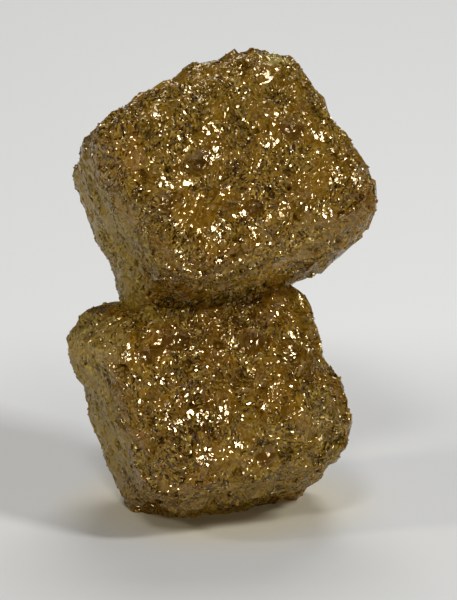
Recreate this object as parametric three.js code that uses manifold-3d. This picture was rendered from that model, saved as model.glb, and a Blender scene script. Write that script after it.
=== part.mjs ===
// A rough diamond: two cube crystals grown into each other, one leaning on top of the other.
// Millimetres, +Z up. The specimen rests on a small flat of the lower crystal, at Z 0, and the origin
// is on that surface, below the middle of the whole.
// Both cubes are rounded and a little bulged. Their faces are rough all over with small flat facets,
// lumps and pits, and the upper crystal has growth ledges on its underside.
import * as THREE from "three";
import { mergeVertices } from "three/addons/utils/BufferGeometryUtils.js";
import Module from "manifold-3d";

const wasm = await Module();
wasm.setup();

// Driving dimensions. A crystal's own axes: X its width, Y its depth from front to back, Z its height.
// turn is in degrees about X, then Y, then Z. A swell lifts the surface by its height around a point,
// or along a line to a second point.
// A pit of the front face is given by its X and Z.
const UPPER = {
  size: [5.9, 5.1, 5.2],
  turn: [-33, -17, 22.5],
  centre: [-0.04, 0.85, 8.11],
  swells: {
    crest: { at: [1.0, -1.4, 2.5], reach: 1.6, height: 0.12 },
    chip: { at: [-2.0, -1.9, 2.5], reach: 1.3, height: -0.2 },
    wornCorner: { at: [2.8, -2.0, 2.5], reach: 1.5, height: -0.3 },
    rightFlank: { at: [2.9, -1.6, -1.8], reach: 1.8, height: 0.26 },
    footCorner: { at: [-2.6, -0.9, -2.6], reach: 2.1, height: -0.5 },
    underside: { at: [1.8, 0.3, -2.6], reach: 1.5, height: 0.2 },
    neck: { at: [-2.9, 1.6, -1.6], reach: 1.2, height: 0.25 },
  },
  pits: [
    { at: [1.56, 0.05], radius: 0.34 },
    { at: [-0.2, -1.38], radius: 0.26 },
    { at: [-1.04, 0.23], radius: 0.38 },
    { at: [-2.1, -0.35], radius: 0.24 },
  ],
  ledges: { count: 4, tread: 0.62, rise: 0.16 },
  seed: 11,
};
const LOWER = {
  size: [5.4, 4.8, 5.05],
  turn: [-31, -10, 18.5],
  centre: [-0.18, 0.1, 2.72],
  swells: {
    shoulder: { at: [-2.6, -0.4, 2.5], reach: 1.6, height: 0.9 },
    cheek: { at: [2.6, -1.9, -1.3], reach: 1.5, height: 0.16 },
    heel: { at: [-2.6, 0.6, -2.4], reach: 1.6, height: -0.45 },
    hollow: { at: [1.0, -2.3, 1.0], reach: 1.2, height: -0.2 },
    ridge: { at: [1.05, -2.4, 0.3], to: [1.3, -2.4, -1.6], reach: 0.45, height: 0.16 },
  },
  pits: [
    { at: [-1.0, 1.3], radius: 0.36 },
    { at: [-1.8, 1.1], radius: 0.26 },
    { at: [0.9, 0.77], radius: 0.42 },
    { at: [0.3, -2.05], radius: 0.34 },
  ],
  seed: 47,
};
const CORNER_RADIUS = 1.0;
const FACE_DOME = 0.1; // how far the middle of a face stands proud of its edges
const FACE_GRID = 18; // squares along each side of a face; each becomes two facets
const LUMP = { height: 0.1, wavelength: 1.3 };
const FACET = { height: 0.1, drift: 0.4 }; // drift: how far a facet's corner moves, in squares
const CALM = 0.45; // how much of the facets' height the smoother left faces lack
const PIT_DEPTH = 0.7; // of the pit's radius
const WELD = 1e-5; // corners closer than this are one corner
const GROUND = 30; // side of the block that stands for everything below the resting surface

// Large odd numbers that scatter the number of a grid point, and the steps its place is counted in.
const SCATTER = { salt: 974634777, place: 2654435761, last: 1103515245 };
const STEPS_PER_MM = 1000;

const rad = THREE.MathUtils.degToRad;

// A number from -1 to 1 that belongs to a point of the grid, the same each time.
function chance(point, salt) {
  let h = Math.imul(salt, SCATTER.salt);
  for (const value of point) {
    h = Math.imul(h ^ Math.round(value * STEPS_PER_MM), SCATTER.place);
    h ^= h >>> 15;
  }
  h = Math.imul(h ^ (h >>> 13), SCATTER.last);
  return (((h ^ (h >>> 16)) >>> 0) / 2 ** 32) * 2 - 1;
}

// Smooth lumps from -1 to 1: three slanted waves that never line up.
function lumps({ x, y, z }, seed) {
  const turn = (Math.PI * 2) / LUMP.wavelength;
  const first = Math.sin(turn * (0.8 * x + 0.6 * y) + seed);
  const second = Math.sin(turn * (0.7 * y - 0.7 * z) + 2 * seed);
  const third = Math.sin(turn * (0.6 * z - 0.8 * x) + 3 * seed);
  return (first + second + third) / 3;
}

// Ledges across the underside near the front, each a slope that ends in a short step.
function ledge({ y, z }, { size, ledges }) {
  const under = z < -size[2] / 2 + CORNER_RADIUS / 2;
  if (!ledges || !under) return 0;
  const along = (y + size[1] / 2) / ledges.tread;
  return along > 0 && along < ledges.count ? ledges.rise * (along - Math.floor(along)) : 0;
}

// The place on the crystal's surface that belongs to a point on the plain box, and the way out of it.
function surfaceAt(p, form) {
  const half = new THREE.Vector3(...form.size).multiplyScalar(0.5);
  const inner = half.clone().subScalar(CORNER_RADIUS);
  const core = p.clone().clamp(inner.clone().negate(), inner);
  const out = p.clone().sub(core).normalize();
  const [x, y, z] = p.clone().divide(half).toArray().map((share) => 1 - share ** 2);
  const dome = FACE_DOME * (x * y + y * z + z * x);
  const point = core.addScaledVector(out, CORNER_RADIUS + dome);
  const swollen = Object.values(form.swells).reduce((sum, { at, to = at, reach, height }) => {
    const line = new THREE.Line3(new THREE.Vector3(...at), new THREE.Vector3(...to));
    const middle = line.closestPointToPoint(point, true, new THREE.Vector3());
    return sum + height * Math.exp(-2 * (point.distanceTo(middle) / reach) ** 2);
  }, 0);
  const height = swollen + LUMP.height * lumps(point, form.seed) + ledge(point, form);
  return { point: point.addScaledVector(out, height), out };
}

// A geometry as a closed solid for joining and cutting.
function solidOf(geometry) {
  const plain = geometry.clone();
  plain.deleteAttribute("normal");
  plain.deleteAttribute("uv");
  const merged = mergeVertices(plain, WELD);
  return new wasm.Manifold(
    new wasm.Mesh({
      numProp: 3,
      vertProperties: merged.attributes.position.array,
      triVerts: new Uint32Array(merged.index.array),
    }),
  );
}

function geometryOf(solid) {
  const { numProp, numVert, vertProperties, triVerts } = solid.getMesh();
  const points = new Float32Array(numVert * 3);
  for (let i = 0; i < numVert; i++) {
    points.set(vertProperties.subarray(i * numProp, i * numProp + 3), i * 3);
  }
  const geometry = new THREE.BufferGeometry();
  geometry.setAttribute("position", new THREE.BufferAttribute(points, 3));
  geometry.setIndex(new THREE.BufferAttribute(triVerts, 1));
  return geometry;
}

// The cube: a grid on each face of a box is moved to the rounded surface, then its corners drift
// sideways and up or down, which leaves small flat facets that all face their own way.
function cubeBody(form) {
  const box = new THREE.BoxGeometry(...form.size, FACE_GRID, FACE_GRID, FACE_GRID);
  const places = box.attributes.position;
  const square = (FACET.drift * form.size[0]) / FACE_GRID;
  const p = new THREE.Vector3();
  for (let i = 0; i < places.count; i++) {
    p.fromBufferAttribute(places, i);
    const { point, out } = surfaceAt(p, form);
    const height = FACET.height * (1 - CALM * Math.max(0, -out.x));
    const drift = new THREE.Vector3(chance(p, 1), chance(p, 2), chance(p, 3)).multiplyScalar(square);
    point.add(drift.projectOnPlane(out)).addScaledVector(out, height * chance(p, form.seed));
    places.setXYZ(i, ...point);
  }
  return solidOf(box);
}

// The deep smooth pits of the front face.
function frontPits(form) {
  const shape = new THREE.IcosahedronGeometry(1, 0);
  return form.pits.map(({ at: [x, z], radius }) => {
    const { point, out } = surfaceAt(new THREE.Vector3(x, -form.size[1] / 2, z), form);
    const place = new THREE.Object3D();
    place.position.copy(point);
    place.quaternion.setFromUnitVectors(new THREE.Vector3(0, 0, 1), out);
    place.scale.set(radius, radius, radius * PIT_DEPTH);
    place.updateMatrix();
    return solidOf(shape.clone().applyMatrix4(place.matrix));
  });
}

// One crystal in the specimen's axes.
function crystal(form) {
  const pitted = cubeBody(form).subtract(wasm.Manifold.union(frontPits(form)));
  const pose = new THREE.Object3D();
  pose.rotation.set(...form.turn.map(rad), "ZYX");
  pose.position.set(...form.centre);
  pose.updateMatrix();
  return pitted.transform(pose.matrix.toArray());
}

// Everything below the surface that the specimen rests on.
function underTheSurface() {
  return solidOf(new THREE.BoxGeometry(GROUND, GROUND, GROUND).translate(0, 0, -GROUND / 2));
}

// The two crystals as one solid, without the crumbs that the pits cut loose, centred over the origin.
function specimen() {
  const joined = crystal(UPPER).add(crystal(LOWER)).subtract(underTheSurface());
  const bodies = joined.decompose().sort((a, b) => b.volume() - a.volume());
  const { min, max } = bodies[0].boundingBox();
  return bodies[0].translate([-(min[0] + max[0]) / 2, -(min[1] + max[1]) / 2, 0]);
}

const diamond = new THREE.Mesh(
  geometryOf(specimen()),
  new THREE.MeshStandardMaterial({ color: 0x7a5f2c, roughness: 0.3, metalness: 0 }),
);
diamond.name = "diamond_crystal";

const group = new THREE.Group();
group.add(diamond);
export default group;
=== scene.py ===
"""The looks of a rough brown diamond: two cube crystals grown into each other, one on top of the other.

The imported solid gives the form. It is copied, drawn in a little, and then thousands of small crystal
grains are grown onto it and etched out of it, which leaves the sharp little facets that glitter.
"""

import logging
import math
import random
from collections import defaultdict
from dataclasses import dataclass, field
from enum import Enum
from functools import cached_property
from itertools import product
from typing import ClassVar, Iterator

import bmesh
import bpy
from mathutils import Euler, Matrix, Quaternion, Vector, noise
from mathutils.bvhtree import BVHTree
from mathutils.kdtree import KDTree


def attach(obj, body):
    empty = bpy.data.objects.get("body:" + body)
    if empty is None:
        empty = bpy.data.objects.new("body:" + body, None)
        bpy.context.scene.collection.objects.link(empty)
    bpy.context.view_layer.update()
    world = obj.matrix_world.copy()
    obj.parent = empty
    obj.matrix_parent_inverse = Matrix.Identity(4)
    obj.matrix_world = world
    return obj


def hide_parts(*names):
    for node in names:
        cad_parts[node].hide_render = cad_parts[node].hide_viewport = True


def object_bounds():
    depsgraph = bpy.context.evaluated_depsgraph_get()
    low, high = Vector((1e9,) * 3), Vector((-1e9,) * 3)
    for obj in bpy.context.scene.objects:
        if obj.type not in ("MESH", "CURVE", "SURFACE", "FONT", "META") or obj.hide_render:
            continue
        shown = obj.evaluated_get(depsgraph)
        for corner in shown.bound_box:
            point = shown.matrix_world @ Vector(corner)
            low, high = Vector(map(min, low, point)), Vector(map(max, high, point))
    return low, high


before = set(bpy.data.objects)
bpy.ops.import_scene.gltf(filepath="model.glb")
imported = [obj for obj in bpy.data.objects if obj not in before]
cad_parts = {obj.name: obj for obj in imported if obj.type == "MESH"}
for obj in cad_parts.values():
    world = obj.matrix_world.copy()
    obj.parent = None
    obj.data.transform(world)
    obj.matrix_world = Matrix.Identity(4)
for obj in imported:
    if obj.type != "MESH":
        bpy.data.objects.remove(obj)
cad_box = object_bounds()

MM = 0.001
RESTING = 0.01 * MM  # corners up to this height belong to the flat that the stone rests on
CAD_NODE = "diamond_crystal"
PIECE_NAME = "rough_diamond"

Triple = tuple[float, float, float]

log = logging.getLogger("diamond")


class Stroke(Enum):
    """What a set of grains does to the stone."""

    GROW = "UNION"
    ETCH = "DIFFERENCE"


class GrainShape(Enum):
    """The forms that a grain can have."""

    PYRAMID = "pyramid"
    BLOCK = "block"
    SHARD = "shard"
    BLADE = "blade"
    FLAT = "flat"


def ramp(value: float, low: float, high: float) -> float:
    """How far a value is from low to high, from 0 to 1."""
    return min(1.0, max(0.0, (value - low) / (high - low)))


@dataclass(frozen=True)
class Cube:
    """One of the two cube crystals: its own axes are X its width, Y its depth and Z its height.

    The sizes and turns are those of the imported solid, in millimetres and degrees.
    """

    centre: Triple
    turn: Triple
    size: Triple

    @cached_property
    def turning(self) -> Matrix:
        """The turn from the crystal's own axes to the specimen's."""
        return Euler([math.radians(a) for a in self.turn], "XYZ").to_matrix()

    def inside(self, point: Vector) -> Vector:
        """A point of the specimen, in shares of the crystal's half sizes.

        Args:
            point: A place on the specimen, in metres.

        Returns:
            The same place in the crystal's own axes, where a face lies at 1 or -1.
        """
        own = self.turning.transposed() @ (point / MM - Vector(self.centre))
        return Vector(2 * value / side for value, side in zip(own, self.size))

    def distance(self, point: Vector) -> float:
        """How far a point is from the surface of the plain cube, in shares of its half size."""
        return abs(max(abs(value) for value in self.inside(point)) - 1)


UPPER = Cube(centre=(-0.072, 0.213, 8.11), turn=(-33, -17, 22.5), size=(5.9, 5.1, 5.2))
LOWER = Cube(centre=(-0.212, -0.537, 2.72), turn=(-31, -10, 18.5), size=(5.4, 4.8, 5.05))


def cube_at(point: Vector) -> Cube:
    """The cube whose surface is nearest to a point."""
    return min((UPPER, LOWER), key=lambda cube: cube.distance(point))


FROST_SIDE = (0.88, 0.98)  # how near its face a point is where the frost sets in and is full
FROST_BACK = (-0.8, -0.4)  # the same from the front edge backwards, behind the clear strip
FROST_UNDER = 0.3  # how frosted the undersides are


def frosted(point: Vector) -> float:
    """How frosted the stone is at a point.

    The left faces are, but for a strip along their front edge, and the undersides are a little.

    Args:
        point: A place on the stone, in metres.

    Returns:
        From 0 to 1.
    """
    own = cube_at(point).inside(point)
    wander = noise.noise(point / (0.6 * MM)) + 0.5 * noise.noise(point / (0.15 * MM))
    left = ramp(-own.x + 0.05 * wander, *FROST_SIDE) * ramp(own.y + 0.35 * wander, *FROST_BACK)
    under = ramp(-own.z + 0.05 * wander, *FROST_SIDE)
    return max(left, FROST_UNDER * under)


@dataclass(frozen=True)
class Spot:
    """A place on a front face that looks unlike the rest. Lengths are in millimetres.

    Attributes:
        cube: The crystal that it is on.
        at: Its place across and up the front face, from the face's middle.
        radius: How far it reaches up.
        stretch: How much further it reaches across than up.
    """

    cube: Cube
    at: tuple[float, float]
    radius: float
    stretch: float = 1.0

    @cached_property
    def place(self) -> Vector:
        """Its middle on the specimen, in metres."""
        across, up = self.at
        own = Vector((across, -self.cube.size[1] / 2, up))
        return (Vector(self.cube.centre) + self.cube.turning @ own) * MM

    def away(self, point: Vector) -> float:
        """How far a point is from its middle, in shares of its radius. Depth counts little."""
        own = self.cube.turning.transposed() @ (point - self.place) / (self.radius * MM)
        return math.hypot(own.x / self.stretch, 0.2 * own.y, own.z)

    @property
    def reach(self) -> float:
        """How far from its middle it can reach on the stone, in metres."""
        return (1.6 * self.radius * max(1, self.stretch) + 0.4) * MM

    def share(self, point: Vector, soft: float = 0.35) -> float:
        """How much a point belongs to the spot, whose edge wanders in and out.

        Args:
            point: A place on the stone, in metres.
            soft: The share of the radius over which the spot fades out.

        Returns:
            From 0 outside it to 1 inside it.
        """
        wander = 0.4 * noise.noise(point / (0.25 * MM))
        return ramp(1 - self.away(point) + wander, 0.0, soft)


@dataclass(frozen=True)
class Tint:
    """A spot of another colour: mostly the stone's own, but two of them are a painted shadow and painted
    light.

    Attributes:
        spot: Where it is.
        colour: Its colour.
        strength: How much of it there is in the spot's middle.
    """

    spot: Spot
    colour: Triple
    strength: float


PITS = (
    Spot(UPPER, (1.56, 0.05), 0.36, 1.1),
    Spot(UPPER, (-0.2, -1.38), 0.24, 1.3),
    Spot(UPPER, (-1.04, 0.23), 0.30, 1.8),
    Spot(UPPER, (-2.1, -0.35), 0.26, 0.8),
    Spot(LOWER, (-1.0, 1.3), 0.26, 1.9),
    Spot(LOWER, (-1.8, 1.1), 0.24, 1.3),
    Spot(LOWER, (0.9, 0.77), 0.32, 1.6),
    Spot(LOWER, (0.3, -2.05), 0.26, 1.5),
)
CHEEK = Spot(LOWER, (2.1, -1.45), 0.9, 0.7)
# Spots of the stone's own colours, and among them one painted shadow and one painted light.
TINTS_AND_PAINTED_LIGHT = (
    Tint(CHEEK, (0.21, 0.125, 0.003), 0.9),
    Tint(Spot(UPPER, (-2.6, 1.2), 0.9, 0.8), (0.56, 0.23, 0.015), 0.5),
    Tint(Spot(UPPER, (-0.4, 0.2), 1.3, 1.4), (0.27, 0.13, 0.003), 0.45),
    Tint(Spot(UPPER, (2.6, -1.2), 0.9, 0.7), (0.27, 0.14, 0.004), 0.5),
    Tint(Spot(UPPER, (2.2, 2.1), 0.42, 1.2), (0.72, 0.64, 0.20), 1.0),
    # painted shadow that the upper crystal casts on the top of the lower one's front
    Tint(Spot(LOWER, (0.4, 1.2), 0.75, 2.4), (0.16, 0.056, 0.001), 0.85),
    Tint(Spot(LOWER, (1.9, 0.1), 1.0, 0.7), (0.14, 0.065, 0.001), 0.8),
    # painted light that comes through the stone where the upper crystal shades the lower one
    Tint(Spot(LOWER, (1.7, 2.4), 0.5, 1.8), (0.85, 0.48, 0.04), 0.85),
    Tint(Spot(LOWER, (-2.5, -0.65), 0.17), (0.62, 0.26, 0.12), 0.8),
    Tint(Spot(LOWER, (-2.9, 2.0), 1.0), (0.68, 0.48, 0.11), 0.85),
)
FLASHES = tuple(Spot(cube, (across, up), radius) for cube, across, up, radius in (
    (UPPER, -2.34, -1.80, 0.28), (UPPER, 1.31, -2.09, 0.26), (UPPER, -0.98, 0.82, 0.20),
    (UPPER, -2.42, -2.45, 0.22), (UPPER, -1.20, -1.48, 0.24), (UPPER, -0.48, -1.95, 0.18),
    (UPPER, -1.89, 0.01, 0.14), (UPPER, 2.00, -1.49, 0.12), (UPPER, 0.99, 0.03, 0.14),
    (UPPER, -0.58, -1.42, 0.12), (UPPER, -0.19, 0.85, 0.18), (UPPER, -1.37, 1.68, 0.13),
    (UPPER, 2.45, -1.75, 0.14), (UPPER, 1.35, 0.52, 0.12), (UPPER, -0.56, 0.25, 0.18),
    (UPPER, 1.13, -0.70, 0.13), (UPPER, -0.42, 2.07, 0.12), (UPPER, 2.14, -0.29, 0.13),
    (UPPER, -1.44, -2.47, 0.14), (LOWER, -1.77, -0.80, 0.22), (LOWER, -0.43, -0.83, 0.18),
    (LOWER, -0.99, -0.69, 0.24), (LOWER, -1.18, -1.82, 0.18), (LOWER, -2.08, 0.66, 0.18),
    (LOWER, -1.68, 0.36, 0.13), (LOWER, -0.63, 0.75, 0.13), (LOWER, -2.32, 1.37, 0.13),
    (LOWER, -0.33, -1.61, 0.12),
))


@dataclass(frozen=True)
class Coat:
    """One coat of grains over the whole stone. Lengths are in millimetres.

    Attributes:
        shape: The form of its grains.
        stroke: Whether they are grown on or etched out.
        count: How many grains are tried.
        half: The smallest and largest half width.
        reach: How far a grain stands out of the drawn-in surface, or how deep it is etched, at least and
            at most.
        tilt: How far a grain leans off its patch, in degrees.
        heaps: Into how many heaps they are sorted.
        spots: Where its grains are, or nothing where they are all over the stone.
    """

    shape: GrainShape
    stroke: Stroke
    count: int
    half: tuple[float, float]
    reach: tuple[float, float]
    tilt: float
    heaps: int
    spots: tuple[Spot, ...] = ()


@dataclass(frozen=True)
class Mould:
    """The form of a grain, for a half width of 1.

    Attributes:
        PROPORTIONS: How far each shape's plain form is drawn out along its axes.
        corners: Its corners.
        faces: Its faces, each the numbers of its corners.
    """

    PROPORTIONS: ClassVar[dict[GrainShape, Triple]] = {
        GrainShape.PYRAMID: (1.0, 1.0, 1.0),
        GrainShape.FLAT: (1.4, 0.7, 1.0),
        GrainShape.BLOCK: (1.0, 0.8, 0.9),
        GrainShape.SHARD: (3.0, 1.0, 0.8),
        GrainShape.BLADE: (8.0, 1.0, 1.6),
    }

    corners: list[Vector]
    faces: list[list[int]]

    @classmethod
    def of(cls, shape: GrainShape) -> "Mould":
        """Makes the mould of a shape."""
        grain = bmesh.new()
        if shape is GrainShape.PYRAMID:
            bmesh.ops.create_cone(grain, cap_ends=True, segments=4, radius1=1.4, radius2=0, depth=1.2)
        elif shape is GrainShape.FLAT:
            bmesh.ops.create_cone(grain, cap_ends=True, segments=5, radius1=1.3, radius2=0.9, depth=1.0)
        else:
            bmesh.ops.create_cube(grain, size=2)
        bmesh.ops.scale(grain, vec=cls.PROPORTIONS[shape], verts=grain.verts)
        corners = [vert.co.copy() for vert in grain.verts]
        faces = [[vert.index for vert in face.verts] for face in grain.faces]
        grain.free()
        return cls(corners, faces)

    def room(self, half: float) -> float:
        """The radius of the ball that a grain of that half width needs."""
        return half * max(corner.length for corner in self.corners)


class Heap:
    """Grains that don't touch each other, to be grown onto the stone or etched out of it in one go.

    Attributes:
        cell: The width of the cells in which neighbours are looked for.
        corners: The corners of all its grains.
        faces: The faces of all its grains.
        taken: The place and the room of each grain, by cell.
    """

    def __init__(self, cell: float) -> None:
        """Starts an empty heap.

        Args:
            cell: The width of its cells, which no grain is wider than.
        """
        self.cell = cell
        self.corners: list[Vector] = []
        self.faces: list[list[int]] = []
        self.taken: dict[tuple[int, ...], list[tuple[Vector, float]]] = defaultdict(list)

    def key(self, place: Vector) -> tuple[int, ...]:
        """The cell that a place lies in."""
        return tuple(math.floor(value / self.cell) for value in place)

    def has_room(self, place: Vector, room: float) -> bool:
        """Whether a grain fits without touching another.

        Args:
            place: Its middle.
            room: The radius of the ball that it needs.
        """
        i, j, k = self.key(place)
        around = ((i + u, j + v, k + w) for u, v, w in product((-1, 0, 1), repeat=3))
        taken = (other for cell in around if cell in self.taken for other in self.taken[cell])
        return all((place - other).length > room + its_room for other, its_room in taken)

    def add(self, place: Vector, room: float, corners: list[Vector], faces: list[list[int]]) -> None:
        """Adds a grain.

        Args:
            place: Its middle.
            room: The radius of the ball that it needs.
            corners: Its corners.
            faces: Its faces.
        """
        first = len(self.corners)
        self.taken[self.key(place)].append((place, room))
        self.corners.extend(corners)
        self.faces.extend([first + number for number in face] for face in faces)

    def to_object(self) -> bpy.types.Object:
        """The heap as one object."""
        mesh = bpy.data.meshes.new("grains")
        mesh.from_pydata(self.corners, [], self.faces)
        return bpy.data.objects.new("grains", mesh)


class Marks:
    """What the corners of the stone are marked with, for its material to read.

    Attributes:
        mesh: The stone's mesh.
        corners: Its corners.
        tree: Finds the corners near a place.
    """

    def __init__(self, mesh: bpy.types.Mesh) -> None:
        """Starts without marks.

        Args:
            mesh: The stone's mesh.
        """
        self.mesh = mesh
        self.corners = [vert.co.copy() for vert in mesh.vertices]
        self.tree = KDTree(len(self.corners))
        for number, corner in enumerate(self.corners):
            self.tree.insert(corner, number)
        self.tree.balance()

    def shares(self, spot: Spot) -> Iterator[tuple[int, float]]:
        """How much the corners near a spot belong to it.

        Args:
            spot: The spot.

        Yields:
            A corner's number and its share.
        """
        for corner, number, _ in self.tree.find_range(spot.place, spot.reach):
            yield number, spot.share(corner)

    def clear(self) -> list[float]:
        """How much each corner belongs to a pit."""
        values = [0.0] * len(self.corners)
        for pit in PITS:
            for number, share in self.shares(pit):
                values[number] = max(values[number], share)
        return values

    def tints(self) -> tuple[list[float], list[Triple]]:
        """How strongly each corner is tinted, and with what colour, the painted shadow and painted light
        included.
        """
        strengths = [0.0] * len(self.corners)
        colours = [(0.0, 0.0, 0.0)] * len(self.corners)
        for tint in TINTS_AND_PAINTED_LIGHT:
            for number, share in self.shares(tint.spot):
                if tint.strength * share >= strengths[number]:
                    strengths[number], colours[number] = tint.strength * share, tint.colour
        return strengths, colours

    def flashes(self, glance: Vector, keen: float, side: float) -> list[float]:
        """Which corners are on a facet that faces the glance.

        Args:
            glance: The way that the brightest facets face.
            keen: How far off it a small facet may face, in degrees. A large one counts three times as far.
            side: The side of a square as large as the largest small facet, in metres.

        Returns:
            For each corner 1 on a small facet, -1 on a large one and 0 elsewhere.
        """
        values = [0.0] * len(self.corners)
        for face in self.mesh.polygons:
            off = face.normal.angle(glance, math.pi)
            small = face.area < side ** 2
            if off < math.radians(keen if small else 3 * keen):
                for number in face.vertices:
                    values[number] = 1.0 if small else min(values[number], -1.0)
        return values

    def write(self, name: str, values: list[float]) -> None:
        """Marks each corner with a number."""
        self.mesh.attributes.new(name, "FLOAT", "POINT").data.foreach_set("value", values)

    def write_colours(self, name: str, colours: list[Triple]) -> None:
        """Marks each corner with a colour."""
        mark = self.mesh.attributes.new(name, "FLOAT_VECTOR", "POINT")
        mark.data.foreach_set("vector", [value for colour in colours for value in colour])


@dataclass
class Stone:
    """The diamond itself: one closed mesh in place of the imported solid. Lengths are in millimetres.

    Attributes:
        draw_in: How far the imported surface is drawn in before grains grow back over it.
        foot: How high above the resting surface the lowest grains sit.
        relief: The height that counts as fully standing out, or as fully deep.
        patch: The width of a patch of grains that lean the same way.
        patch_turn: How far a patch leans off its crystal's own axes, in degrees.
        glance: The way that the brightest facets face: halfway between the right light and the viewer.
        keen: How far off that way a facet may face to be kept plain, in degrees.
        facet: The side of a square as large as the largest facet that is kept plain.
        wear: How often the pits are worn down.
        worn: How far round a pit the surface is made finer, and how far it is worn, in shares of its
            radius.
        scatter: How widely the grains of a spot are strewn, in shares of its radius.
        weld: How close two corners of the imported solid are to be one.
        slack: How far a grain's furthest corner may stand out, in shares of its coat's largest reach.
        calm: How much smaller grains are where the stone is frosted or smooth.
        cheek_frost: How frosted the smooth cheek is.
        seed: Where the random draws start.
        coats: The coats of grains, in the order in which they are laid.
    """

    draw_in: float = 0.05
    foot: float = 0.2
    relief: float = 0.05
    patch: float = 0.9
    patch_turn: float = 45.0
    glance: Vector = Vector((0.37, -0.77, 0.52))
    keen: float = 4.0
    facet: float = 0.13
    wear: int = 10
    worn: tuple[float, float] = (1.6, 1.3)
    scatter: float = 0.6
    weld: float = 1e-4
    slack: float = 1.2
    calm: float = 0.15
    cheek_frost: float = 0.6
    seed: int = 5
    coats: tuple[Coat, ...] = (
        Coat(GrainShape.BLOCK, Stroke.ETCH, 1300, (0.06, 0.20), (0.04, 0.12), 10, 3),
        Coat(GrainShape.PYRAMID, Stroke.GROW, 3000, (0.05, 0.13), (0.01, 0.05), 14, 4),
        Coat(GrainShape.SHARD, Stroke.GROW, 1700, (0.025, 0.055), (0.01, 0.045), 20, 3),
        Coat(GrainShape.BLADE, Stroke.GROW, 260, (0.016, 0.026), (0.02, 0.05), 12, 2),
        Coat(GrainShape.FLAT, Stroke.GROW, 420, (0.03, 0.055), (0.04, 0.06), 2.5, 3),
        Coat(GrainShape.FLAT, Stroke.GROW, 720, (0.04, 0.075), (0.05, 0.08), 3, 7, FLASHES),
    )
    draw: random.Random = field(init=False)
    surface: BVHTree = field(init=False)

    def __post_init__(self) -> None:
        """Seeds the random draws and the noise."""
        self.draw = random.Random(self.seed)
        noise.seed_set(self.seed)

    def build(self) -> bpy.types.Object:
        """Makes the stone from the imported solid.

        Returns:
            The finished stone, in the specimen's frame.
        """
        stone = self.smooth_copy()
        ground = stone.data.copy()
        corners = [vert.co for vert in ground.vertices]
        self.surface = BVHTree.FromPolygons(corners, [face.vertices for face in ground.polygons])
        for coat in self.coats:
            for heap in self.heaps(ground, coat):
                self.combine(stone, heap.to_object(), coat.stroke)
        self.drop_crumbs(stone)
        self.stain(stone)
        return stone

    def smooth_copy(self) -> bpy.types.Object:
        """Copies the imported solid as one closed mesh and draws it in."""
        mesh = bpy.data.meshes.new(PIECE_NAME)
        body = bmesh.new()
        body.from_mesh(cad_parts[CAD_NODE].data)
        bmesh.ops.remove_doubles(body, verts=body.verts, dist=self.weld * MM)
        body.normal_update()
        ways = [
            sum((face.normal * face.calc_area() for face in vert.link_faces), Vector())
            for vert in body.verts
        ]
        for vert, out in zip(body.verts, ways):
            if vert.co.z > RESTING:
                vert.co -= out.normalized() * self.draw_in * MM
        self.soften_pits(body)
        body.to_mesh(mesh)
        body.free()
        stone = bpy.data.objects.new(PIECE_NAME, mesh)
        bpy.context.scene.collection.objects.link(stone)
        return stone

    def soften_pits(self, body: bmesh.types.BMesh) -> None:
        """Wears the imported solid's pits down to smooth hollows.

        Args:
            body: The drawn-in surface.
        """
        finer, worn = self.worn
        near = {vert for vert in body.verts if any(pit.away(vert.co) < finer for pit in PITS)}
        edges = [edge for edge in body.edges if not near.isdisjoint(edge.verts)]
        bmesh.ops.subdivide_edges(body, edges=edges, cuts=3, use_grid_fill=True)
        bmesh.ops.triangulate(body, faces=body.faces)
        soft = [vert for vert in body.verts if any(pit.away(vert.co) < worn for pit in PITS)]
        axes = {"use_axis_x": True, "use_axis_y": True, "use_axis_z": True}
        for _ in range(self.wear):
            bmesh.ops.smooth_vert(body, verts=soft, factor=0.5, **axes)

    def places(self, mesh: bpy.types.Mesh, coat: Coat) -> Iterator[tuple[Vector, Vector]]:
        """Places for a coat's grains, off the stone's foot and its pits.

        Args:
            mesh: The drawn-in surface.
            coat: The coat.

        Yields:
            A place on the surface and the way out of the stone there.
        """
        if coat.spots:
            for _ in range(coat.count):
                spot = self.draw.choice(coat.spots)
                spread = self.scatter * spot.radius
                aside = Vector((self.draw.gauss(0, spread), 0, self.draw.gauss(0, spread)))
                yield self.surface.find_nearest(spot.place + spot.cube.turning @ aside * MM)[:2]
            return
        areas = [face.area for face in mesh.polygons]
        for face in self.draw.choices(mesh.polygons, areas, k=coat.count):
            a, b, c = (mesh.vertices[v].co for v in face.vertices[:3])
            s, t = self.draw.random(), self.draw.random()
            if s + t > 1:
                s, t = 1 - s, 1 - t
            place = a + s * (b - a) + t * (c - a)
            if place.z > self.foot * MM and not any(pit.share(place) for pit in PITS):
                yield place, face.normal.copy()

    def heaps(self, ground: bpy.types.Mesh, coat: Coat) -> list[Heap]:
        """Makes a coat's grains, sorted into heaps of grains that don't touch each other.

        Args:
            ground: The drawn-in surface.
            coat: The coat to make.

        Returns:
            The heaps.
        """
        mould = Mould.of(coat.shape)
        cell = 2 * mould.room(coat.half[1] * MM)
        heaps = [Heap(cell) for _ in range(coat.heaps)]
        for place, out in self.places(ground, coat):
            calm = 1 - self.calm * max(frosted(place), CHEEK.share(place))
            half = self.draw.uniform(*coat.half) * calm * MM
            room = mould.room(half)
            corners = self.grain(mould, place, out, half, calm, coat)
            heap = next((one for one in heaps if one.has_room(place, room)), None)
            if heap and (coat.stroke is Stroke.ETCH or self.fits(corners, coat)):
                heap.add(place, room, corners, mould.faces)
        log.info("%s %s: %d grains of %d", coat.stroke.name, coat.shape.value,
                 sum(len(heap.faces) for heap in heaps) // len(mould.faces), coat.count)
        return heaps

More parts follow.
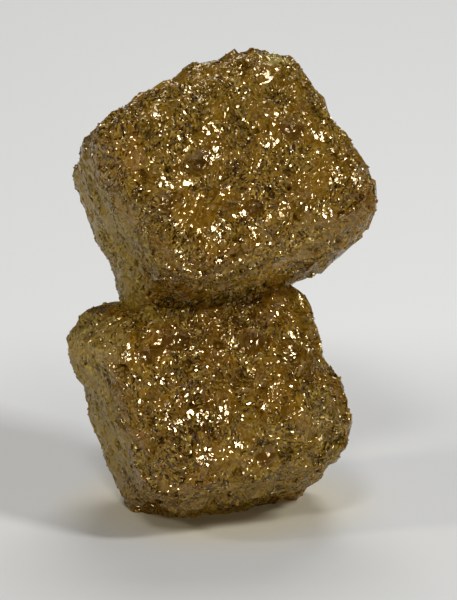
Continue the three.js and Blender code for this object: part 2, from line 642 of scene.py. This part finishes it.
    def turned(self, place: Vector, out: Vector, coat: Coat) -> Matrix:
        """Draws how a grain is turned.

        Flats face the glance and slivers lie along the surface. The others follow their patch.

        Args:
            place: Where the grain sits.
            out: The way out of the stone there.
            coat: The coat that it belongs to.

        Returns:
            The turn from the mould's axes to the specimen's.
        """
        own = [self.draw.gauss(0, math.radians(coat.tilt)) for _ in range(3)]
        if coat.shape is GrainShape.FLAT:
            spin = Quaternion(self.glance, self.draw.uniform(0, math.pi)).to_matrix()
            return Euler(own).to_matrix() @ spin @ self.glance.to_track_quat("Z", "Y").to_matrix()
        if coat.shape in (GrainShape.SHARD, GrainShape.BLADE):
            along = Quaternion(out, self.draw.uniform(0, math.pi)) @ out.orthogonal()
            return Matrix((along, out.cross(along), out)).transposed() @ Euler(own).to_matrix()
        patch = noise.noise_vector(place / (self.patch * MM)) * math.radians(self.patch_turn)
        turn = Euler(patch + Vector(own)).to_matrix() @ cube_at(place).turning
        if coat.shape is GrainShape.PYRAMID:
            up = max((sign * turn.col[i] for i in range(3) for sign in (1, -1)), key=out.dot)
            return up.to_track_quat("Z", "Y").to_matrix()
        return turn

    def grain(self, mould: Mould, place: Vector, out: Vector, half: float, calm: float,
              coat: Coat) -> list[Vector]:
        """Turns and places one grain.

        Args:
            mould: The grain's form.
            place: Where it sits.
            out: The way out of the stone there.
            half: Its half width, in metres.
            calm: The share of its usual reach that it has there.
            coat: The coat that it belongs to.

        Returns:
            Its corners.
        """
        turn = self.turned(place, out, coat)
        corners = [place + turn @ (corner * half) for corner in mould.corners]
        reach = self.draw.uniform(*coat.reach) * calm * MM
        if coat.stroke is Stroke.GROW:
            for _ in range(2):
                shift = min(0.0, reach - max(self.height(corner) for corner in corners))
                corners = [corner + shift * out for corner in corners]
            return corners
        shift = -reach - min(out.dot(corner - place) for corner in corners)
        return [corner + shift * out for corner in corners]

    def fits(self, corners: list[Vector], coat: Coat) -> bool:
        """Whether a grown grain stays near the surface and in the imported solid's box.

        Args:
            corners: The grain's corners.
            coat: The coat that it belongs to.
        """
        low, high = cad_box
        inside = all(low[i] <= corner[i] <= high[i] for corner in corners for i in range(3))
        return inside and max(self.height(corner) for corner in corners) < self.slack * coat.reach[1] * MM

    def height(self, point: Vector) -> float:
        """How far a point stands out of the drawn-in surface, or lies inside it, as a negative number."""
        nearest, out, _, away = self.surface.find_nearest(point)
        return math.copysign(away, out.dot(point - nearest))

    def stain(self, stone: bpy.types.Object) -> None:
        """Marks each corner: how frosted, clear or bright it is, how far it stands out or lies deep, which
        the material paints as painted highlight and painted shade, and its tint.

        Args:
            stone: The stone.
        """
        marks = Marks(stone.data)
        tinted, colours = marks.tints()
        full = self.relief * MM
        cheeks = [self.cheek_frost * CHEEK.share(corner) for corner in marks.corners]
        marks.write("frost", [max(frosted(corner), cheek) for corner, cheek in zip(marks.corners, cheeks)])
        # the relief mark drives the painted shade in the hollows and the painted highlight on the raised
        # edges
        marks.write("relief", [ramp(self.height(corner), -full, full) for corner in marks.corners])
        marks.write("flash", marks.flashes(self.glance, self.keen, self.facet * MM))
        marks.write("clear", marks.clear())
        marks.write("tinted", tinted)
        marks.write_colours("tint", colours)

    def combine(self, stone: bpy.types.Object, grains: bpy.types.Object, stroke: Stroke) -> None:
        """Grows a set of grains onto the stone or etches it out.

        Args:
            stone: The stone so far, whose mesh is replaced.
            grains: The set.
            stroke: What the set does.
        """
        cut = stone.modifiers.new("grains", "BOOLEAN")
        cut.solver = "MANIFOLD"
        cut.operation = stroke.value
        cut.object = grains
        self.settle(stone)
        bpy.data.meshes.remove(grains.data)

    def drop_crumbs(self, stone: bpy.types.Object) -> None:
        """Leaves out what the grains cut loose, so that one closed surface stays.

        Args:
            stone: The stone, whose mesh is changed.
        """
        body = bmesh.new()
        body.from_mesh(stone.data)
        joined = self.joined_to(max(body.verts, key=lambda vert: vert.co.z))
        bmesh.ops.delete(body, geom=[vert for vert in body.verts if vert not in joined], context="VERTS")
        body.to_mesh(stone.data)
        body.free()

    @staticmethod
    def joined_to(first: bmesh.types.BMVert) -> set[bmesh.types.BMVert]:
        """All the corners that a chain of edges leads to from one corner."""
        joined, ahead = {first}, [first]
        while ahead:
            vert = ahead.pop()
            found = {edge.other_vert(vert) for edge in vert.link_edges} - joined
            joined |= found
            ahead.extend(found)
        return joined

    def settle(self, stone: bpy.types.Object) -> None:
        """Replaces the stone's mesh by what its modifier makes of it."""
        bpy.context.view_layer.update()
        result = bpy.data.meshes.new_from_object(stone.evaluated_get(bpy.context.evaluated_depsgraph_get()))
        stone.modifiers.clear()
        old = stone.data
        stone.data = result
        bpy.data.meshes.remove(old)


class Nodes:
    """Lays out a material's nodes and joins them.

    Attributes:
        tree: The node tree that it works on.
    """

    def __init__(self, material: bpy.types.Material) -> None:
        """Starts from the material's empty tree.

        Args:
            material: The material to fill.
        """
        material.use_nodes = True
        self.tree = material.node_tree
        self.tree.nodes.clear()

    def add(self, kind: str, inputs: dict | None = None, **settings: object) -> bpy.types.Node:
        """Adds a node.

        Args:
            kind: The node's type, without the words that all of them start with.
            inputs: What goes into its sockets: a value, or another node's socket.
            settings: The node's own settings.

        Returns:
            The node.
        """
        node = self.tree.nodes.new("ShaderNode" + kind)
        for name, value in settings.items():
            setattr(node, name, value)
        for name, value in (inputs or {}).items():
            if isinstance(value, bpy.types.NodeSocket):
                self.tree.links.new(value, node.inputs[name])
            else:
                node.inputs[name].default_value = value
        return node

    def math(self, operation: str, *values: object) -> bpy.types.NodeSocket:
        """A sum or other working on numbers.

        Args:
            operation: What is done.
            values: The numbers, or the sockets that they come from.

        Returns:
            The socket with the result.
        """
        node = self.add("Math", operation=operation)
        for i, value in enumerate(values):
            if isinstance(value, bpy.types.NodeSocket):
                self.tree.links.new(value, node.inputs[i])
            else:
                node.inputs[i].default_value = value
        return node.outputs[0]

    def product(self, first: bpy.types.NodeSocket, *others: object) -> bpy.types.NodeSocket:
        """The product of numbers.

        Args:
            first: The socket of the first number.
            others: The other numbers, or the sockets that they come from.
        """
        for other in others:
            first = self.math("MULTIPLY", first, other)
        return first

    def mark(self, name: str, output: str = "Fac") -> bpy.types.NodeSocket:
        """One of the stone's marks.

        Args:
            name: The mark's name.
            output: Fac for a number, Vector for a colour.
        """
        return self.add("Attribute", attribute_name=name).outputs[output]

    def noise(self, where: bpy.types.NodeSocket, scale: float, detail: float) -> bpy.types.NodeSocket:
        """Smooth random variation, mostly between 0.3 and 0.7.

        Args:
            where: The place on the stone.
            scale: How many lumps lie along a metre.
            detail: How much finer variation it has.
        """
        return self.add("TexNoise", {"Vector": where, "Scale": scale, "Detail": detail}).outputs["Fac"]

    def vector(self, operation: str, first: bpy.types.NodeSocket,
               second: object = None) -> bpy.types.NodeSocket:
        """A working on directions.

        Args:
            operation: What is done.
            first: The socket of the first direction.
            second: A direction, a number for SCALE, or the socket that it comes from.

        Returns:
            The socket with the result.
        """
        node = self.add("VectorMath", {0: first}, operation=operation)
        place = "Scale" if operation == "SCALE" else 1
        if isinstance(second, bpy.types.NodeSocket):
            self.tree.links.new(second, node.inputs[place])
        elif second is not None:
            node.inputs[place].default_value = second
        return node.outputs["Vector"]

    def ramp(self, value: bpy.types.NodeSocket, low: float, high: float, start: float = 0.0,
             end: float = 1.0) -> bpy.types.NodeSocket:
        """A smooth change from one number to another.

        Args:
            value: What it follows.
            low: Where it starts.
            high: Where it ends.
            start: The result up to low.
            end: The result from high on.

        Returns:
            The socket with the result.
        """
        node = self.add("MapRange", {"Value": value, "From Min": low, "From Max": high,
                                     "To Min": start, "To Max": end}, interpolation_type="SMOOTHSTEP")
        return node.outputs["Result"]

    def mix(self, share: object, first: object, second: object) -> bpy.types.NodeSocket:
        """A mix of two colours.

        Args:
            share: How much of the second.
            first: A colour or a socket.
            second: A colour or a socket.

        Returns:
            The socket with the mix.
        """
        node = self.add("Mix", data_type="RGBA")
        for name, value in (("Factor_Float", share), ("A_Color", first), ("B_Color", second)):
            target = next(one for one in node.inputs if one.identifier == name)
            if isinstance(value, bpy.types.NodeSocket):
                self.tree.links.new(value, target)
            else:
                target.default_value = value if name == "Factor_Float" else (*value, 1.0)
        return next(one for one in node.outputs if one.identifier == "Result_Color")


@dataclass(frozen=True)
class Cloud:
    """A colour that shows in soft patches.

    Attributes:
        colour: The colour.
        scale: How many patches lie along a metre.
        detail: How much finer variation they have.
        start: The noise at which it starts to show.
        full: The noise at which it shows most.
        most: How much of it shows there.
    """

    colour: Triple
    scale: float
    detail: float
    start: float
    full: float
    most: float = 1.0


@dataclass(frozen=True)
class Cells:
    """A layer of tiny flat facets that only the material draws.

    Attributes:
        scale: How many lie along a metre.
        dark: How much of the darkest colour shows on the darkest.
        light: How much of the lightest colour shows on the lightest.
        lean: How far they lean.
    """

    scale: float
    dark: float
    light: float
    lean: float


@dataclass(frozen=True)
class DiamondFinish:
    """Brown diamond: honey to olive, clear inside and bright on its facets, frosted on the left faces.

    Attributes:
        deep: The brown under everything, which shows most in the calm and clear areas.
        clouds: The honey, the greener parts and the brown specks that lie over it, in that order.
        hollow_shade_and_dark_facets: Painted shade in the hollows between the grains, and the darkest
            random tone of the tiny facets.
        pit: The smooth pits.
        edge_highlight_and_light_facets: A painted golden highlight on the edges of the grains that stand
            out, and the lightest random tone of the tiny facets.
        frost: The pale left faces.
        shine: The warm tint of the light that the facets throw back.
        shine_level: How much light they throw back.
        index: The index of refraction.
        passing: How much light passes through.
        haze: How much light is scattered inside.
        haze_reach: How far red, green and blue scatter, in shares of its depth.
        haze_depth: How deep the scattering goes.
        polish: The roughness of the smoothest and the roughest clear parts.
        matt: How much rougher the frosted faces are.
        patches: How many patches of slivers that lie the same way there are along a metre.
        sliver: How the tiny facets are drawn out into slivers, along each axis.
        cells: The layers of tiny facets.
    """

    deep: Triple = (0.22, 0.09, 0.002)
    clouds: tuple[Cloud, ...] = (
        Cloud((0.42, 0.208, 0.006), 700.0, 4.0, 0.35, 0.65),
        Cloud((0.35, 0.200, 0.007), 220.0, 2.0, 0.4, 0.65),
        Cloud((0.22, 0.09, 0.002), 2600.0, 3.0, 0.45, 0.3, 0.5),
    )
    # painted shade in the hollows between the grains, and the dark random tone of the tiny facets
    hollow_shade_and_dark_facets: Triple = (0.055, 0.019, 0.0003)
    pit: Triple = (0.10, 0.036, 0.0005)
    # painted golden highlight on the raised grain edges, and the light random tone of the tiny facets
    edge_highlight_and_light_facets: Triple = (0.74, 0.49, 0.09)
    frost: Triple = (0.54, 0.39, 0.045)
    shine: Triple = (1.0, 0.79, 0.48)
    shine_level: float = 0.13
    index: float = 2.42
    passing: float = 0.35
    haze: float = 0.3
    haze_reach: Triple = (1.0, 0.55, 0.2)
    haze_depth: float = 0.3 * MM
    polish: tuple[float, float] = (0.03, 0.16)
    matt: float = 0.3
    patches: float = 2400.0
    sliver: Triple = (0.35, 1.0, 1.0)
    cells: tuple[Cells, ...] = (Cells(10000.0, 0.75, 0.35, 0.4), Cells(23000.0, 1.0, 0.65, 0.8))

    def material(self) -> bpy.types.Material:
        """Makes the material."""
        material = bpy.data.materials.new("brown_diamond")
        nodes = Nodes(material)
        where = nodes.add("TexCoord").outputs["Object"]
        area = nodes.noise(where, 1300.0, 2.0)
        body = self.body(nodes, where, area)
        body, normal = self.facets(nodes, where, area, body)
        rough = nodes.ramp(nodes.noise(where, 4000.0, 3.0), 0.3, 0.7, *self.polish)
        shader = nodes.add("BsdfPrincipled", {
            "Base Color": body,
            "Roughness": nodes.math("MULTIPLY_ADD", nodes.mark("frost"), self.matt, rough),
            "IOR": self.index,
            "Specular IOR Level": self.shine_level,
            "Specular Tint": (*self.shine, 1.0),
            "Transmission Weight": self.passing,
            "Subsurface Weight": self.haze,
            "Subsurface Radius": self.haze_reach,
            "Subsurface Scale": self.haze_depth,
            "Normal": normal,
        })
        nodes.add("OutputMaterial", {"Surface": shader.outputs["BSDF"]})
        return material

    def body(self, nodes: Nodes, where: bpy.types.NodeSocket,
             area: bpy.types.NodeSocket) -> bpy.types.NodeSocket:
        """The stone's colour without its tiny facets, with painted shade in the hollows, a painted
        highlight on the raised edges, and the tints.

        Args:
            nodes: The material's nodes.
            where: The place on the stone.
            area: Low where the stone is calm and clear.

        Returns:
            The colour.
        """
        body = self.deep
        for cloud in self.clouds:
            drift = nodes.noise(where, cloud.scale, cloud.detail)
            share = nodes.ramp(drift, cloud.start, cloud.full, 0.0, cloud.most)
            body = nodes.mix(share, body, cloud.colour)
        relief = nodes.mark("relief")
        # Painted shade: the colour darkens towards the deepest hollows between the grains.
        body = nodes.mix(nodes.ramp(relief, 0.45, 0.0, 0.0, 0.6), body, self.hollow_shade_and_dark_facets)
        # Painted highlight: the colour lightens on the grains that stand out furthest.
        body = nodes.mix(nodes.ramp(relief, 0.7, 1.0, 0.0, 0.25), body, self.edge_highlight_and_light_facets)
        body = nodes.mix(nodes.math("MULTIPLY", nodes.mark("frost"), 0.8), body, self.frost)
        # the tints, among them a painted shadow and painted light
        body = nodes.mix(nodes.mark("tinted"), body, nodes.mark("tint", "Vector"))
        body = nodes.mix(nodes.math("MULTIPLY", nodes.mark("clear"), 0.95), body, self.pit)
        return nodes.mix(nodes.ramp(area, 0.56, 0.42, 0.0, 0.35), body, self.deep)

    def facets(self, nodes: Nodes, where: bpy.types.NodeSocket, area: bpy.types.NodeSocket,
               body: bpy.types.NodeSocket) -> tuple[bpy.types.NodeSocket, bpy.types.NodeSocket]:
        """Breaks the stone up into tiny facets, each with its own shade and lean.

        Pits and calm areas have the least of them. Small facets that flash stay plain, and large ones
        are broken up the most.

        Args:
            nodes: The material's nodes.
            where: The place on the stone.
            area: Low where the stone is calm and clear.
            body: The colour so far.

        Returns:
            The colour and the way out of the surface.
        """
        frost, clear, flash = (nodes.mark(name) for name in ("frost", "clear", "flash"))
        shown = nodes.product(
            nodes.ramp(clear, 0.0, 0.5, 1.0, 0.25),
            nodes.ramp(frost, 0.0, 0.3, 1.0, 1.2),
            nodes.ramp(frost, 0.3, 1.0, 1.0, 0.6),
            nodes.ramp(area, 0.42, 0.58, 0.45, 1.3),
        )
        leaning = nodes.product(
            nodes.ramp(nodes.math("MAXIMUM", clear, flash), 0.0, 0.9, 1.0, 0.15),
            nodes.ramp(area, 0.42, 0.6, 0.65, 1.6),
            nodes.ramp(flash, -1.0, 0.0, 2.2, 1.0),
        )
        normal = nodes.add("NewGeometry").outputs["Normal"]
        strewn = self.strewn(nodes, where)
        for cells in self.cells:
            drawn = nodes.add("TexVoronoi", {"Vector": strewn, "Scale": cells.scale}).outputs["Color"]
            parts = nodes.add("SeparateColor", {"Color": drawn}).outputs
            shade = nodes.product(nodes.ramp(parts["Red"], 0.3, 1.0, 0.0, cells.dark), shown)
            glow = nodes.product(nodes.ramp(parts["Green"], 0.6, 1.0, 0.0, cells.light), shown)
            body = nodes.mix(glow, nodes.mix(shade, body, self.hollow_shade_and_dark_facets), self.edge_highlight_and_light_facets)
            normal = self.faceted(nodes, drawn, nodes.product(leaning, cells.lean), normal)
        return body, normal

    def strewn(self, nodes: Nodes, where: bpy.types.NodeSocket) -> bpy.types.NodeSocket:
        """Stretches the stone's coordinates another way in each small patch.

        Args:
            nodes: The material's nodes.
            where: The place on the stone.

        Returns:
            Coordinates in which cells come out as slivers that lie every way.
        """
        drawn = nodes.add("TexVoronoi", {"Vector": where, "Scale": self.patches}).outputs["Color"]
        turn = nodes.vector("SCALE", drawn, 2 * math.pi)
        turned = nodes.add("VectorRotate", {"Vector": where, "Rotation": turn}, rotation_type="EULER_XYZ")
        return nodes.vector("MULTIPLY", turned.outputs["Vector"], self.sliver)

    @staticmethod
    def faceted(nodes: Nodes, drawn: bpy.types.NodeSocket, lean: bpy.types.NodeSocket,
                normal: bpy.types.NodeSocket) -> bpy.types.NodeSocket:
        """Breaks the surface up into tiny flat facets that each lean their own way.

        Args:
            nodes: The material's nodes.
            drawn: The colour that each facet drew.
            lean: How far they lean.
            normal: The way out of the surface so far.

        Returns:
            The way out of each facet.
        """
        off = nodes.vector("SUBTRACT", drawn, (0.5, 0.5, 0.5))
        return nodes.vector("NORMALIZE", nodes.vector("ADD", normal, nodes.vector("SCALE", off, lean)))


@dataclass(frozen=True)
class PaperFinish:
    """The pale paper that the specimen stands on, with painted light and shade on it.

    Attributes:
        near: Its colour in front.
        far: Its colour behind, lighter: painted light that stands in for a brighter lit backdrop.
        warm: Painted light and shade under the stone: a warm, slightly darker colour for the light that
            comes through the stone and for its contact shadow.
        edge: How far behind the stone the two meet.
        blend: How far before and behind that they run into each other.
        glow: How far from the stone's middle the painted warm light and shade start to fade and end.
        warmth: How much of the painted warm light and shade there is in the middle.
        rough: The paper's roughness.
    """

    near: Triple = (0.76, 0.765, 0.76)
    far: Triple = (0.95, 0.955, 0.95)
    warm: Triple = (0.78, 0.70, 0.48)
    edge: float = 12 * MM
    blend: float = 6 * MM
    glow: tuple[float, float] = (1.5 * MM, 4.8 * MM)
    warmth: float = 0.8
    rough: float = 0.6

    def material(self) -> bpy.types.Material:
        """Makes the material."""
        material = bpy.data.materials.new("pale_paper")
        nodes = Nodes(material)
        where = nodes.add("TexCoord").outputs["Object"]
        along = nodes.add("SeparateXYZ", {"Vector": where}).outputs["Y"]
        # Painted light: the paper is lighter behind the stone, as a brightly lit backdrop would be.
        behind = nodes.ramp(along, self.edge - self.blend, self.edge + self.blend)
        tone = nodes.mix(behind, self.near, self.far)
        away = nodes.add("VectorMath", {0: where}, operation="LENGTH").outputs["Value"]
        # Painted light and shade: a warm, slightly darker patch around the stone's foot.
        tone = nodes.mix(nodes.ramp(away, *self.glow, self.warmth, 0.0), tone, self.warm)
        shader = nodes.add("BsdfPrincipled", {"Base Color": tone, "Roughness": self.rough})
        nodes.add("OutputMaterial", {"Surface": shader.outputs["BSDF"]})
        return material


@dataclass(frozen=True)
class Lamp:
    """A square soft light that looks at the specimen.

    Attributes:
        name: What it is called.
        place: Where it hangs, in millimetres.
        side: Its width, in millimetres.
        power: Its power, in watts.
        colour: Its colour.
    """

    name: str
    place: Triple
    side: float
    power: float
    colour: Triple = (1.0, 1.0, 1.0)


@dataclass
class Studio:
    """The paper, the lights and the camera.

    Attributes:
        aim: What the middle of the picture looks at, in millimetres.
        elevation: How far the camera looks down, in degrees.
        distance: How far the camera is, in millimetres.
        view_height: How much the picture's height takes in at the specimen, in millimetres.
        near_clip: How near the camera things can be seen, in millimetres.
        paper_half: Half the side of the paper, in millimetres.
        room_light: How bright the room is around the specimen.
        lamps: The lights.
    """

    aim: Triple = (0.1875, -0.169, 5.322)
    elevation: float = 15.0
    distance: float = 130.0
    view_height: float = 15.0
    near_clip: float = 10.0
    paper_half: float = 600.0
    room_light: float = 0.055
    lamps: tuple[Lamp, ...] = (
        Lamp("overhead_light", (12, 110, 165), 90, 0.134),
        Lamp("right_light", (125, -70, 130), 34, 0.145),
        Lamp("front_light", (-20, -130, 130), 28, 0.07),
        Lamp("left_light", (-140, -40, 110), 28, 0.05, (1.0, 0.95, 0.84)),
        Lamp("low_light", (30, -170, 30), 20, 0.055, (1.0, 0.94, 0.82)),
    )

    def build(self) -> None:
        """Lays the paper and sets up the world, the lights and the camera."""
        self.paper()
        for lamp in self.lamps:
            self.light(lamp)
        world = bpy.data.worlds.new("soft_room")
        world.use_nodes = True
        background = world.node_tree.nodes["Background"]
        background.inputs["Color"].default_value = (1.0, 1.0, 1.0, 1.0)
        background.inputs["Strength"].default_value = self.room_light
        scene = bpy.context.scene
        scene.world = world
        scene.view_settings.view_transform = "Standard"
        self.camera()

    def paper(self) -> None:
        """Lays a wide sheet of paper under the specimen."""
        sheet = bmesh.new()
        bmesh.ops.create_grid(sheet, x_segments=1, y_segments=1, size=self.paper_half * MM)
        mesh = bpy.data.meshes.new("paper")
        sheet.to_mesh(mesh)
        sheet.free()
        mesh.materials.append(PaperFinish().material())
        paper = bpy.data.objects.new("paper", mesh)
        bpy.context.scene.collection.objects.link(paper)

    def light(self, lamp: Lamp) -> None:
        """Hangs one light.

        Args:
            lamp: What it is.
        """
        data = bpy.data.lights.new(lamp.name, "AREA")
        data.size = lamp.side * MM
        data.energy = lamp.power
        data.color = lamp.colour
        hung = bpy.data.objects.new(lamp.name, data)
        hung.location = Vector(lamp.place) * MM
        towards = Vector(self.aim) * MM - hung.location
        hung.rotation_euler = towards.to_track_quat("-Z", "Y").to_euler()
        bpy.context.scene.collection.objects.link(hung)

    def camera(self) -> None:
        """Sets up the camera at the photograph's angle."""
        data = bpy.data.cameras.new("camera")
        data.lens = data.sensor_width * self.distance / self.view_height
        data.clip_start = self.near_clip * MM
        camera = bpy.data.objects.new("camera", data)
        down = math.radians(self.elevation)
        back = Vector((0, -math.cos(down), math.sin(down)))
        camera.location = (Vector(self.aim) + back * self.distance) * MM
        camera.rotation_euler = (-back).to_track_quat("-Z", "Y").to_euler()
        bpy.context.scene.collection.objects.link(camera)
        bpy.context.scene.camera = camera


def main() -> None:
    """Builds the stone and the studio, and reports each piece."""
    stone = Stone().build()
    stone.data.materials.clear()
    stone.data.materials.append(DiamondFinish().material())
    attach(stone, "root")
    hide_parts(CAD_NODE)
    log.info("stone: %d faces", len(stone.data.polygons))
    Studio().build()


if __name__ == "__main__":
    logging.basicConfig(level=logging.INFO, format="%(name)s: %(message)s")
    main()
